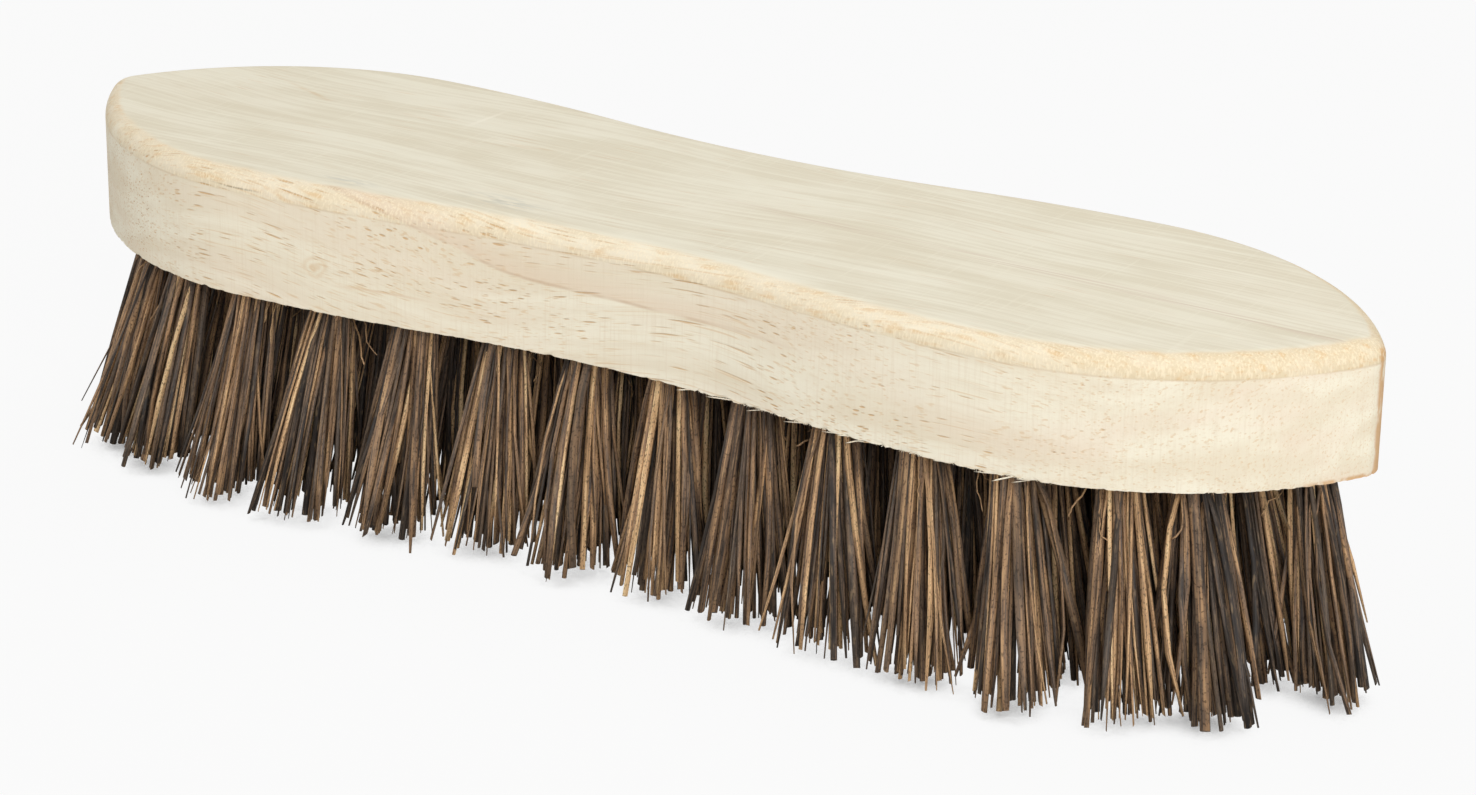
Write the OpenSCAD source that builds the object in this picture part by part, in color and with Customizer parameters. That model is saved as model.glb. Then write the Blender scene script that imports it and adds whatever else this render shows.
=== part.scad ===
// Wooden scrubbing brush: a one-piece block with two round-shouldered ends and a waist,
// filled with tufts of stiff palm fibre. Each tuft is a bundle folded in the middle and
// held in a blind hole by a wire staple, whose legs are driven into the wood.
// The trimmed bristle tips stand on Z = 0. X runs along the brush and Y across it.

/* [Block] */
// Length of the block
length = 225; // [205:1:245]
// Width across the widest part of each end
width = 60; // [57:0.5:66]
// Width at the waist
waist_width = 50.5; // [47:0.5:54]
// Thickness of the block
thickness = 20; // [19:0.5:28]
// Distance from the middle of the block to the widest part of each end
widest_at = 65; // [58:1:70]
// Radius of the long curve of each flank, next to the widest part
flank_r = 237; // [180:1:280]
// Radius of each tip
tip_r = 5; // [4:0.5:8]
// Radius that rounds the top edge
top_round = 3.3; // [1:0.1:3.8]

/* [Bristles] */
// Length of the bristles below the block
trim = 36; // [26:0.5:46]
// Width that a tuft spreads to at its trimmed tips, where its neighbours leave it room
tuft_tip_d = 14; // [8:0.1:15]
// Gap between neighbouring tufts at their tips
tip_gap = 0.4; // [0.3:0.1:2]
// Length over which a tuft keeps its hole's width below the block
straight_length = 1.5; // [1:0.1:4]
// Depth of the grooves between the locks that a tuft opens into, at its tips
groove = 2.4; // [0.6:0.1:3]
// How much shorter a tuft's shortest lock is than its longest
ragged = 2; // [0:0.1:3]
// How far the tips of the end tufts lean out along the brush
end_lean = 6.5; // [5:0.5:10]
// How far the tips of the outermost side tufts lean out across the brush
side_lean = 5.5; // [4.5:0.5:9]

/* [Holes] */
// Diameter of the hole for a tuft
hole_d = 7; // [6:0.1:7.4]
// Depth of the hole, which has a flat floor
hole_depth = 13; // [11:0.5:13.5]
// Distance from the side of the block to the middle of the nearest holes
edge_margin = 8; // [7:0.1:8.5]
// Distance from a tip of the block to the middle of the last hole
tip_margin = 10; // [9:0.1:11]
// Distance from the last hole to the column of holes before it
nose_step = 11; // [10.8:0.1:12]
// Distance from that column to the next column
shoulder_step = 9.5; // [9:0.1:12]

/* [Staples] */
// Diameter of the staple wire
wire_d = 0.9; // [0.6:0.05:1.2]
// Distance between the middles of a staple's legs
leg_spacing = 4.4; // [3.6:0.1:4.8]
// Distance from the floor of the hole to where the staple's legs start to bend
bend_drop = 2; // [1:0.1:3]
// Length of a staple's straight legs
leg_length = 5.5; // [4:0.5:6]
// Gap around a tuft in its hole and around the wire of a staple
fit_gap = 0.05; // [0.02:0.01:0.1]

/* [Hidden] */
$fa = 1;
$fs = 0.4;
SMALL_FN = 48;
CUT = 1;

WOOD = [0.93, 0.86, 0.72];
FIBRE = [0.40, 0.27, 0.16];
STEEL = [0.62, 0.63, 0.65];

// A tuft opens into locks of fibre: their number, half of the angle that the crest of a
// lock takes up, and how far each one falls short, as a share of the most
LOCKS = 8;
CREST = 9;
SHORT = [0, 0.7, 0.25, 1, 0.1, 0.5, 0.85, 0.35];

// Rows of tufts in each column, from the middle of the brush to its tip
ROWS = [4, 4, 4, 4, 5, 4, 3, 1];
HALF = len(ROWS);
last_x = length / 2 - tip_margin;
nose_x = last_x - nose_step;
column_pitch = (nose_x - shoulder_step) / (HALF - 2.5);

// The outline is four arcs in each quarter, each one tangent to the next
tip_x = length / 2 - tip_r;
shoulder_run = tip_x - widest_at;
shoulder_r = (pow(shoulder_run, 2) + pow(width / 2, 2) - pow(tip_r, 2)) / (width - 2 * tip_r);
waist_sink = (width - waist_width) / 2;
waist_r = (pow(widest_at, 2) + pow(waist_sink, 2)) / (2 * waist_sink) - flank_r;
tip_centre = [tip_x, 0];
shoulder_centre = [widest_at, width / 2 - shoulder_r];
flank_centre = [widest_at, width / 2 - flank_r];
waist_centre = [0, waist_width / 2 + waist_r];
tip_turn = atan2(-shoulder_centre.y, shoulder_run);
flank_turn = atan2(widest_at, waist_centre.y - flank_centre.y);

// Points along each arc of the outline, and rows of facets up the rounded top edge
tip_steps = 4;
shoulder_steps = 16;
flank_steps = 6;
waist_steps = 6;
round_steps = 6;

hole_r = hole_d / 2;
tuft_r = hole_r - fit_gap;
bend_r = leg_spacing / 2;
bend_z = hole_depth - bend_drop;

// Half the width of the outline at x, moved inwards by inset
function half_width(x, inset) =
    abs(x) < (waist_r + inset) * sin(flank_turn)
        ? waist_centre.y - sqrt(pow(waist_r + inset, 2) - pow(x, 2))
    : abs(x) < widest_at
        ? flank_centre.y + sqrt(pow(flank_r - inset, 2) - pow(abs(x) - widest_at, 2))
    : shoulder_centre.y + sqrt(pow(shoulder_r - inset, 2) - pow(abs(x) - widest_at, 2));

// Points from one angle to another on an arc, without the last one
function arc(centre, radius, from, to, steps) = [
    for (step = [0 : steps - 1])
        let (angle = from + (to - from) * step / steps)
            centre + radius * [cos(angle), sin(angle)]
];

// The outline from the right tip to the middle of the far side, moved inwards by inset
function quarter(inset) = concat(
    arc(tip_centre, tip_r - inset, 0, tip_turn, tip_steps),
    arc(shoulder_centre, shoulder_r - inset, tip_turn, 90, shoulder_steps),
    arc(flank_centre, flank_r - inset, 90, 90 + flank_turn, flank_steps),
    arc(waist_centre, waist_r + inset, flank_turn - 90, -90, waist_steps)
);

// The whole outline, from the right tip round to the point before it
function outline(inset) =
    let (
        near_tip = quarter(inset),
        middle = [0, half_width(0, inset)],
        count = len(near_tip),
        half = concat(
            near_tip,
            [middle],
            [for (i = [count - 1 : -1 : 1]) [-near_tip[i].x, near_tip[i].y]]
        )
    )
        concat(half, -half);

// Columns are numbered from the left, and place counts them from the middle
function place(column) = column > HALF ? column - HALF - 1 : HALF - column;
function column_side(column) = column > HALF ? 1 : -1;
function place_x(place) =
    place == HALF - 1 ? last_x
    : place == HALF - 2 ? nose_x
    : (place + 0.5) * column_pitch;
function row_y(place, row) =
    ROWS[place] == 1 ? 0
    : half_width(place_x(place), edge_margin) * (2 * (row - 1) / (ROWS[place] - 1) - 1);

// Each tuft's name, the middle of its hole's mouth, and a number that turns its locks
TUFTS = [
    for (column = [1 : 2 * HALF])
        for (row = [1 : ROWS[place(column)]])
            [
                str("tuft_c", column, "_r", row),
                [
                    column_side(column) * place_x(place(column)),
                    row_y(place(column), row),
                    trim
                ],
                5 * column + row
            ]
];
widest_row = max([for (tuft = TUFTS) tuft[1].y]);

// How far a tuft's tips lean out from its hole's mouth, and where the middle of its tips is
function lean(mouth) = [mouth.x * end_lean / last_x, mouth.y * side_lean / widest_row];
function tips(mouth) = [mouth.x, mouth.y] + lean(mouth);

// Half the distance from a tuft's tips to the nearest other tuft's, less half the gap
function free_r(mouth) =
    (min([
        for (tuft = TUFTS)
            if (tuft[1] != mouth)
                norm(tips(tuft[1]) - tips(mouth))
    ]) - tip_gap) / 2;

// A point that is given from a hole's mouth, with +Z into the wood in line with the hole
function in_hole(mouth, point) =
    let (
        out = lean(mouth),
        tilt = atan2(norm(out), trim),
        axis = [out.y, -out.x, 0] / norm(out)
    )
        mouth + cos(tilt) * point + sin(tilt) * cross(axis, point)
            + (1 - cos(tilt)) * (axis * point) * axis;

// Points round a tuft's locks, as an angle, how far in from the tuft's full width, and height
function lock_points(number) = [
    for (lock = [0 : LOCKS - 1])
        let (
            middle = 360 * lock / LOCKS + 19 * number,
            rise = ragged * SHORT[(lock + 3 * number) % LOCKS]
        )
            each [
                [middle - 180 / LOCKS, groove, 1.5 * ragged],
                [middle - CREST, 0, rise],
                [middle + CREST, 0, rise]
            ]
];

// Puts a shape in line with a hole: Z = 0 at its mouth, and +Z into the wood
module in_line(mouth) {
    out = lean(mouth);
    heading = atan2(-out.y, -out.x);
    translate(mouth)
        rotate([0, atan2(norm(out), trim), heading])
            rotate([0, 0, -heading])
                children();
}

// A closed solid inside a skin that joins rings of points, from the lowest to the highest
module skin(rings) {
    count = len(rings[0]);
    last = len(rings) - 1;
    walls = [
        for (level = [0 : last - 1])
            for (i = [0 : count - 1])
                let (j = (i + 1) % count, low = level * count, high = low + count)
                    each [[low + i, high + i, high + j], [low + i, high + j, low + j]]
    ];
    floor_face = [[for (i = [0 : count - 1]) i]];
    top_face = [[for (i = [count - 1 : -1 : 0]) last * count + i]];
    polyhedron([for (ring = rings) each ring], concat(floor_face, walls, top_face));
}

// The block before it is drilled: walls that rise straight, then curve in to a flat top
module block_blank() {
    levels = concat(
        [[0, 0]],
        [
            for (step = [0 : round_steps])
                let (angle = 90 * step / round_steps)
                    [top_round * (1 - cos(angle)), thickness - top_round * (1 - sin(angle))]
        ]
    );
    skin([for (level = levels) [for (p = outline(level[0])) [p.x, p.y, level[1]]]]);
}

// The drilled hole, which starts a little below the wood and has a flat floor
module hole() {
    translate([0, 0, -CUT])
        cylinder(h = hole_depth + CUT, r = hole_r, $fn = SMALL_FN);
}

// The two straight legs of a staple, or the holes that they make in the wood
module staple_legs(gap) {
    for (side = [-1, 1])
        translate([side * bend_r, 0, bend_z])
            cylinder(h = leg_length + gap, d = wire_d + 2 * gap, $fn = SMALL_FN);
}

// The round bend of a staple, which holds the folded fibres down
module staple_bend(gap) {
    translate([0, 0, bend_z])
        rotate([90, 0, 0])
            rotate([0, 0, 180])
                rotate_extrude(angle = 180, $fn = SMALL_FN)
                    translate([bend_r, 0])
                        circle(d = wire_d + 2 * gap);
}

module block() {
    color(WOOD)
        difference() {
            translate([0, 0, trim])
                block_blank();
            for (tuft = TUFTS)
                in_line(tuft[1]) {
                    hole();
                    staple_legs(fit_gap);
                }
        }
}

module anchor_staples() {
    color(STEEL)
        for (tuft = TUFTS)
            in_line(tuft[1]) {
                staple_legs(0);
                staple_bend(0);
            }
}

// A bundle of fibres: a round root that fills its hole, then locks that spread and part
// towards tips of uneven length, around a core that is cut flat
module tuft(mouth, number) {
    end_r = min(tuft_tip_d / 2, free_r(mouth));
    middle = tips(mouth);
    points = lock_points(number);
    core = [for (p = points) [middle.x, middle.y, 0] + end_r / 2 * [cos(p[0]), sin(p[0]), 0]];
    ends = [
        for (p = points)
            [middle.x, middle.y, p[2]] + (end_r - p[1]) * [cos(p[0]), sin(p[0]), 0]
    ];
    neck = [
        for (p = points)
            in_hole(mouth, [tuft_r * cos(p[0]), tuft_r * sin(p[0]), -straight_length])
    ];
    root = [
        for (p = points)
            in_hole(mouth, [tuft_r * cos(p[0]), tuft_r * sin(p[0]), hole_depth - fit_gap])
    ];
    color(FIBRE)
        difference() {
            skin([core, ends, neck, root]);
            in_line(mouth) {
                staple_legs(fit_gap);
                staple_bend(fit_gap);
            }
        }
}

block();
anchor_staples();
for (tuft = TUFTS)
    tuft(tuft[1], tuft[2]);
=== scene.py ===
# %% [markdown]
# # A wooden scrubbing brush
#
# The brush is one waisted block of pale wood with 58 bundles of stiff palm fibre set in
# its underside. Each bundle is folded over a wire staple at the bottom of a drilled hole.
# The solids were made in CAD. Here the block and the bundles get the shapes and finishes
# that the eye sees, and the staples, which are right as they are, get their steel.

import math
import random

import bmesh
import bpy
from mathutils import Matrix, Vector, noise


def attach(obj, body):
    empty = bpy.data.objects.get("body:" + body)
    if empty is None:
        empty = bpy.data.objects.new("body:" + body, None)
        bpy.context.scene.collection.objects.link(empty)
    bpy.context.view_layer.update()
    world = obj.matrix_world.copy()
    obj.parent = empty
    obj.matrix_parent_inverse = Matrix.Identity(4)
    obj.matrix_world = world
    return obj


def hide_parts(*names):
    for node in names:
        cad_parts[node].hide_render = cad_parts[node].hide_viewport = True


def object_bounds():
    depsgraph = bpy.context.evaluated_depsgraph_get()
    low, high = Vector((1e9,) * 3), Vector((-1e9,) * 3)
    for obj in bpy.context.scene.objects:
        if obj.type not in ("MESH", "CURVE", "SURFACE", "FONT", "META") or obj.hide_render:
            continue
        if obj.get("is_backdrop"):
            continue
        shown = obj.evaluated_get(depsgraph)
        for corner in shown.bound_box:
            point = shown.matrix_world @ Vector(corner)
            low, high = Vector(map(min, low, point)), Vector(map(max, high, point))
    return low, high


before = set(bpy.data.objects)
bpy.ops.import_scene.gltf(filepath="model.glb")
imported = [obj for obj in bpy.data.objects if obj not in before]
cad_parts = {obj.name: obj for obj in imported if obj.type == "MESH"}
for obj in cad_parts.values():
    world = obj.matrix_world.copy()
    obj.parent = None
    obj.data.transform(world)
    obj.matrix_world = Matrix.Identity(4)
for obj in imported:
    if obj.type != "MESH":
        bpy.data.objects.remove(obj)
cad_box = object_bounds()
print("CAD nodes:", len(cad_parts))

# %% [markdown]
# ## The sizes that the drawing gives
#
# The looks have to sit on the solids, so the drawing's sizes are repeated here. All of
# Blender's lengths are metres, so a size in millimetres is multiplied by MM. X runs along
# the brush, Y across it, and the trimmed tips of the fibres stand on Z = 0.

# %% Sizes of the block and its holes
MM = 0.001
LENGTH = 225 * MM
WIDTH = 60 * MM
WAIST_WIDTH = 50.5 * MM
THICKNESS = 20 * MM
WIDEST_AT = 65 * MM
FLANK_R = 237 * MM
TIP_R = 5 * MM
TOP_ROUND = 3.3 * MM
TRIM = 36 * MM
HOLE_R = 3.5 * MM
HOLE_DEPTH = 13 * MM
EDGE_MARGIN = 8 * MM
LAST_X = LENGTH / 2 - 10 * MM
NOSE_X = LAST_X - 11 * MM
SHOULDER_STEP = 9.5 * MM
END_LEAN = 6.5 * MM
SIDE_LEAN = 5.5 * MM
TIP_GAP = 0.4 * MM
WIDEST_TUFT = 7 * MM
LOCKS = 8
GROOVE = 2.4 * MM
RAGGED = 2 * MM
SHORT = [0, 0.7, 0.25, 1, 0.1, 0.5, 0.85, 0.35]
print("Block:", LENGTH / MM, "x", WIDTH / MM, "x", THICKNESS / MM, "mm")

# %% [markdown]
# The outline is four arcs in each quarter, each tangent to the next: a small one at the
# tip, a round shoulder, a long flank and a hollow waist. Tangent arcs are how a pattern
# maker draws such a block, and two lines of geometry give the radii that are left open.

# %% The four arcs of the outline
tip_x = LENGTH / 2 - TIP_R
shoulder_run = tip_x - WIDEST_AT
shoulder_r = (shoulder_run**2 + (WIDTH / 2) ** 2 - TIP_R**2) / (WIDTH - 2 * TIP_R)
waist_sink = (WIDTH - WAIST_WIDTH) / 2
waist_r = (WIDEST_AT**2 + waist_sink**2) / (2 * waist_sink) - FLANK_R
shoulder_y = WIDTH / 2 - shoulder_r
flank_y = WIDTH / 2 - FLANK_R
waist_y = WAIST_WIDTH / 2 + waist_r
tip_turn = math.atan2(-shoulder_y, shoulder_run)
flank_turn = math.atan2(WIDEST_AT, waist_y - flank_y)


def half_width(x, inset=0.0):
    """Half the block's width at x, along a line that runs inset inside the outline."""
    x = abs(x)
    if x < (waist_r + inset) * math.sin(flank_turn):
        return waist_y - math.sqrt((waist_r + inset) ** 2 - x**2)
    if x < WIDEST_AT:
        return flank_y + math.sqrt((FLANK_R - inset) ** 2 - (x - WIDEST_AT) ** 2)
    return shoulder_y + math.sqrt((shoulder_r - inset) ** 2 - (x - WIDEST_AT) ** 2)


print("Shoulder radius:", round(shoulder_r / MM, 1), "mm, waist:", round(waist_r / MM, 1), "mm")

# %% [markdown]
# The holes stand in columns that are numbered from the left, c1 to c16, and each column's
# rows are numbered from the front. The tufts at the ends and sides lean outwards, which
# lets the brush reach into corners, so their holes are drilled on the same slant.

# %% Where each hole is, and how its tuft leans
ROWS = [4, 4, 4, 4, 5, 4, 3, 1]
HALF = len(ROWS)
column_pitch = (NOSE_X - SHOULDER_STEP) / (HALF - 2.5)
column_x = [(place + 0.5) * column_pitch for place in range(HALF - 2)] + [NOSE_X, LAST_X]

mouths = {}
numbers = {}
for column in range(1, 2 * HALF + 1):
    place = column - HALF - 1 if column > HALF else HALF - column
    x = column_x[place] if column > HALF else -column_x[place]
    reach = half_width(x, EDGE_MARGIN)
    for row in range(1, ROWS[place] + 1):
        share = 0 if ROWS[place] == 1 else 2 * (row - 1) / (ROWS[place] - 1) - 1
        mouths[f"c{column}_r{row}"] = Vector((x, reach * share, TRIM))
        numbers[f"c{column}_r{row}"] = 5 * column + row

widest_row = max(mouth.y for mouth in mouths.values())


def lean(mouth):
    """How far the tips of a tuft stand out from the mouth of its hole."""
    return Vector((mouth.x * END_LEAN / LAST_X, mouth.y * SIDE_LEAN / widest_row, 0))


def tips(mouth):
    """The middle of a tuft's tips, on the floor."""
    return Vector((mouth.x, mouth.y, 0)) + lean(mouth)


def spread(mouth):
    """The radius that a tuft's tips spread to, where its neighbours leave it room."""
    gaps = [(tips(other) - tips(mouth)).length for other in mouths.values() if other != mouth]
    return min(WIDEST_TUFT, (min(gaps) - TIP_GAP) / 2)


print("Holes:", len(mouths), "in columns", round(column_pitch / MM, 2), "mm apart")

# %% [markdown]
# ## The camera
#
# The photograph was taken from the right of the brush's front and a little above it, with
# a long lens. The numbers come from fitting a pinhole camera to the block's outline. The
# eye's place is given from the middle of the block's underside, in metres.

# %% Camera
AZIMUTH = math.radians(31.52)
ELEVATION = math.radians(21.087)
ROLL = math.radians(0.805)
FOCAL_PIXELS = 4191.586
PHOTO_WIDTH = 1476
SENSOR = 36.0
EYE_RIGHT = 0.00662
EYE_UP = -0.011957
EYE_BACK = 0.640467

back = Vector(
    (
        math.sin(AZIMUTH) * math.cos(ELEVATION),
        -math.cos(AZIMUTH) * math.cos(ELEVATION),
        math.sin(ELEVATION),
    )
)
level_right = Vector((math.cos(AZIMUTH), math.sin(AZIMUTH), 0))
level_up = back.cross(level_right)
right = math.cos(ROLL) * level_right + math.sin(ROLL) * level_up
up = math.cos(ROLL) * level_up - math.sin(ROLL) * level_right
eye = Vector((0, 0, TRIM)) + EYE_RIGHT * right + EYE_UP * up + EYE_BACK * back

camera = bpy.data.objects.new("camera", bpy.data.cameras.new("camera"))
camera.data.sensor_fit = "HORIZONTAL"
camera.data.sensor_width = SENSOR
camera.data.lens = FOCAL_PIXELS / PHOTO_WIDTH * SENSOR
camera.data.clip_start = 0.01
camera.data.clip_end = 20
turn = Matrix((right, up, back)).transposed()
camera.matrix_world = Matrix.Translation(eye) @ turn.to_4x4()
bpy.context.scene.collection.objects.link(camera)
bpy.context.scene.camera = camera
print("Lens:", round(camera.data.lens, 1), "mm, distance:", round(eye.length, 3), "m")

# %% [markdown]
# ## Tools for making pieces
#
# Every piece is shaped in a bmesh and then becomes an object. The object stays at the
# origin, and its place is in its mesh, so a pattern on Object coordinates can't slide.

# %% From a bmesh to a piece of the brush
def make_piece(name, shape, material):
    """Turns a bmesh into an object that rides on the brush's one body."""
    mesh = bpy.data.meshes.new(name)
    shape.to_mesh(mesh)
    shape.free()
    mesh.materials.append(material)
    piece = bpy.data.objects.new(name, mesh)
    bpy.context.scene.collection.objects.link(piece)
    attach(piece, "root")
    return piece


# %% [markdown]
# ## Tools for making materials
#
# A material is a sum of small ideas, such as bands plus pores plus saw marks. That reads
# best as arithmetic, so a small class wraps a node's socket and lets Python's own signs
# add the Math nodes. Its make method adds any other node.

# %% A socket that can be used in an expression
class Wire:
    """The output of a shader node. Arithmetic with it adds Math nodes."""

    def __init__(self, tree, socket=None):
        self.tree = tree
        self.socket = socket

    def make(self, kind, settings=None, inputs=None, output=0):
        """Adds a node, sets it up, feeds it values or wires, and returns one output."""
        node = self.tree.nodes.new(kind)
        for name, value in (settings or {}).items():
            if name == "stops":
                set_stops(node.color_ramp, value)
            else:
                setattr(node, name, value)
        for name, value in (inputs or {}).items():
            if isinstance(value, Wire):
                self.tree.links.new(value.socket, node.inputs[name])
            else:
                node.inputs[name].default_value = value
        return Wire(self.tree, node.outputs[output] if node.outputs else None)

    def other(self, output):
        """Another output of the same node."""
        return Wire(self.tree, self.socket.node.outputs[output])

    def maths(self, operation, *values):
        """A Math node on as many values as it takes."""
        return self.make("ShaderNodeMath", {"operation": operation}, dict(enumerate(values)))

    def __add__(self, other):
        return self.maths("ADD", self, other)

    def __radd__(self, other):
        return self.maths("ADD", other, self)

    def __sub__(self, other):
        return self.maths("SUBTRACT", self, other)

    def __rsub__(self, other):
        return self.maths("SUBTRACT", other, self)

    def __mul__(self, other):
        return self.maths("MULTIPLY", self, other)

    def __rmul__(self, other):
        return self.maths("MULTIPLY", other, self)

    def __truediv__(self, other):
        return self.maths("DIVIDE", self, other)

    def __abs__(self):
        return self.maths("ABSOLUTE", self)


def set_stops(ramp, stops):
    """Gives a colour ramp its stops, as pairs of a position and a colour."""
    while len(ramp.elements) < len(stops):
        ramp.elements.new(1.0)
    for element, (position, stop) in zip(ramp.elements, stops):
        element.position = position
        element.color = stop


print("Expressions such as 1 - mask now add nodes")

# %% [markdown]
# A few words on top of that class keep the materials short: a soft threshold, one colour
# laid over another, and noise whose features have a given size in millimetres. Wood and
# fibre are both long in one direction, so nearly every noise here is a stretched one.

# %% Words that the materials use
def colour(red, green, blue):
    """A colour as it reads on a screen, 0 to 255, turned into the linear light it stands for."""
    shares = [channel / 255 for channel in (red, green, blue)]
    return (*[s / 12.92 if s < 0.04045 else ((s + 0.055) / 1.055) ** 2.4 for s in shares], 1.0)


def smooth(value, low, high):
    """0 up to low, 1 from high, and a soft step between. It runs down if low is above high."""
    return value.make(
        "ShaderNodeMapRange",
        {"interpolation_type": "SMOOTHSTEP"},
        {"Value": value, "From Min": low, "From Max": high},
    )


def over(amount, under, top):
    """One colour laid over another by an amount from 0 to 1."""
    return amount.make(
        "ShaderNodeMix", {"data_type": "RGBA"}, {0: amount, 6: under, 7: top}, output=2
    )


def sized(place, size):
    """A place in millimetres counted in steps of a size along each axis."""
    return place.make("ShaderNodeVectorMath", {"operation": "DIVIDE"}, {0: place, 1: size})


def grain(place, size, detail=2.0, output=0):
    """Soft noise whose features have about that size in millimetres."""
    return place.make(
        "ShaderNodeTexNoise",
        {"noise_dimensions": "3D"},
        {"Vector": sized(place, size), "Scale": 1.0, "Detail": detail, "Roughness": 0.5},
        output,
    )


def near(value, middle, reach):
    """1 at the middle, falling softly to 0 at a distance of reach."""
    return smooth(abs(value - middle), reach, 0.0)


def new_material(name):
    """An empty material and a wire to build it from."""
    material = bpy.data.materials.new(name)
    material.use_nodes = True
    material.node_tree.nodes.clear()
    return material, Wire(material.node_tree)


def finish_material(start, base, roughness, height, depth, **constants):
    """Gives a material its surface: colour, roughness, and a relief of a depth in metres."""
    relief = start.make(
        "ShaderNodeBump", {}, {"Strength": 1.0, "Distance": depth, "Height": height}
    )
    surface = start.make(
        "ShaderNodeBsdfPrincipled",
        {},
        {"Base Color": base, "Roughness": roughness, "Normal": relief, **constants},
    )
    start.make("ShaderNodeOutputMaterial", {}, {"Surface": surface})


print("Cream on screen is", [round(c, 2) for c in colour(242, 234, 213)[:3]], "in light")

# %% [markdown]
# ## The wood
#
# The block is a pale, close timber with short orange-brown pores. It is cut along the
# grain, so the pores are dashes on the sides and top and dots on the ends. A picture
# wrapped round the block couldn't do that. A solid pattern can: it exists all through the
# wood, and each face shows its own cut through it. The pattern is read in millimetres, and
# a slow drift bends it, because no tree is straight. Masks tell the top, the moulded edge,
# the sides and the front apart.

# %% Where we are in the wood
wood, wood_start = new_material("pale_wood")
metres = wood_start.make("ShaderNodeTexCoord", {}, {}, "Object")
spot = wood_start.make(
    "ShaderNodeVectorMath", {"operation": "SCALE"}, {0: metres, "Scale": 1 / MM}
)
along = spot.make("ShaderNodeSeparateXYZ", {}, {0: spot}, "X")
across = along.other("Y")
height = along.other("Z")

drift = grain(spot, (75.0, 45.0, 32.0), 1.0, "Color")
bent = spot.make(
    "ShaderNodeVectorMath", {"operation": "MULTIPLY_ADD"}, {0: drift, 1: (0, 16, 16), 2: spot}
)

top_height = (TRIM + THICKNESS) / MM
round_height = top_height - TOP_ROUND / MM
uneven = grain(spot, (9.0, 3.0, 3.0), 2.0)
on_top = smooth(height + 0.3 * (uneven - 0.5), top_height - 0.28, top_height - 0.03)
on_round = smooth(height, round_height - 0.2, round_height + 0.1) * (1 - on_top)
on_side = 1 - smooth(height, round_height - 0.4, round_height + 0.1)
in_front = smooth(across, 0.0, -8.0)
print("Wood nodes so far:", len(wood.node_tree.nodes))

# %% [markdown]
# The ground colour comes first: broad growth bands of cream and tan, fine lines along the
# grain, and a pinker flush towards the right end. All of this is faint. Pale wood looks
# like plastic without it, and like a drawing of wood if it is strong.

# %% Ground colour of the wood
CREAM = colour(242, 234, 213)
TAN = colour(233, 221, 197)
PINK_TAN = colour(237, 220, 199)
FINE_GRAIN = colour(220, 198, 162)

bands = smooth(grain(bent, (110.0, 7.0, 4.5), 3.0), 0.36, 0.64)
ground = over(bands, TAN, CREAM)
to_right = smooth(along, 50.0, 95.0)
flush = smooth(grain(bent, (38.0, 14.0, 8.0), 2.0), 0.46, 0.70)
ground = over(flush * (0.3 + 0.4 * to_right), ground, PINK_TAN)
fine = grain(bent, (22.0, 0.45, 0.45), 2.0)
ground = over(smooth(fine, 0.52, 0.76) * 0.28, ground, FINE_GRAIN)
print("Wood nodes so far:", len(wood.node_tree.nodes))

# %% [markdown]
# The sanded top is duller, mottled and finely streaked. The moulded edge is deeper in
# colour and blotched, because the cutter left it rough. Long thin lines of grain show on
# both the edge and the sides.

# %% The sanded top and the moulded edge
DUSTY = colour(223, 214, 190)
PALE = colour(237, 231, 211)
SANDED = colour(240, 234, 214)
ROUGH = colour(225, 207, 174)
BLOTCH = colour(222, 186, 134)
LONG_LINE = colour(218, 184, 134)

mottle = grain(bent, (22.0, 6.0, 7.0), 5.0)
sanded = grain(bent, (45.0, 0.8, 3.0), 4.0)
top_tone = smooth(0.55 * mottle + 0.45 * sanded, 0.38, 0.62)
top_colour = over(top_tone, DUSTY, PALE)
sanding = grain(spot, (0.45, 12.0, 3.0), 1.0)
top_colour = over(smooth(sanding, 0.58, 0.78) * 0.35, top_colour, SANDED)
ground = over(on_top * 0.85, ground, top_colour)

roughened = smooth(grain(bent, (9.0, 2.5, 2.5), 3.0), 0.38, 0.62)
ground = over(on_round * (0.2 + 0.5 * roughened + 0.5 * to_right), ground, ROUGH)
blotches = smooth(grain(bent, (5.0, 1.2, 1.2), 4.0), 0.52, 0.72)
ground = over(on_round * blotches * 0.6, ground, BLOTCH)
long_lines = smooth(grain(bent, (60.0, 0.32, 0.32), 1.0), 0.60, 0.72) * (1 - on_top)
ground = over(long_lines * 0.45, ground, LONG_LINE)
print("Wood nodes so far:", len(wood.node_tree.nodes))

# %% [markdown]
# A pore is a thin tube along the grain. A Voronoi pattern scatters points in space, and
# everything within a small distance of a point becomes a pore. Stretching the space turns
# each round spot into a tube a few millimetres long. Two layers of different size keep it
# from looking like a stamp, and slow noise leaves some places nearly clear.

# %% Pores
def pores(place, cell, low, high):
    """Thin tubes in the wood, one in each cell of a size in millimetres.

    A tube is full up to a distance of low from its middle, and gone at high. Tubes differ
    in strength.
    """
    dots = place.make(
        "ShaderNodeTexVoronoi",
        {"voronoi_dimensions": "3D", "feature": "F1"},
        {"Vector": sized(place, cell), "Scale": 1.0, "Randomness": 1.0},
        "Distance",
    )
    shade = dots.make("ShaderNodeSeparateColor", {}, {0: dots.other("Color")}, 0)
    return smooth(dots, high, low) * (0.25 + 0.75 * shade)


PORE = colour(208, 164, 110)
DARK_PORE = colour(140, 106, 74)

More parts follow.
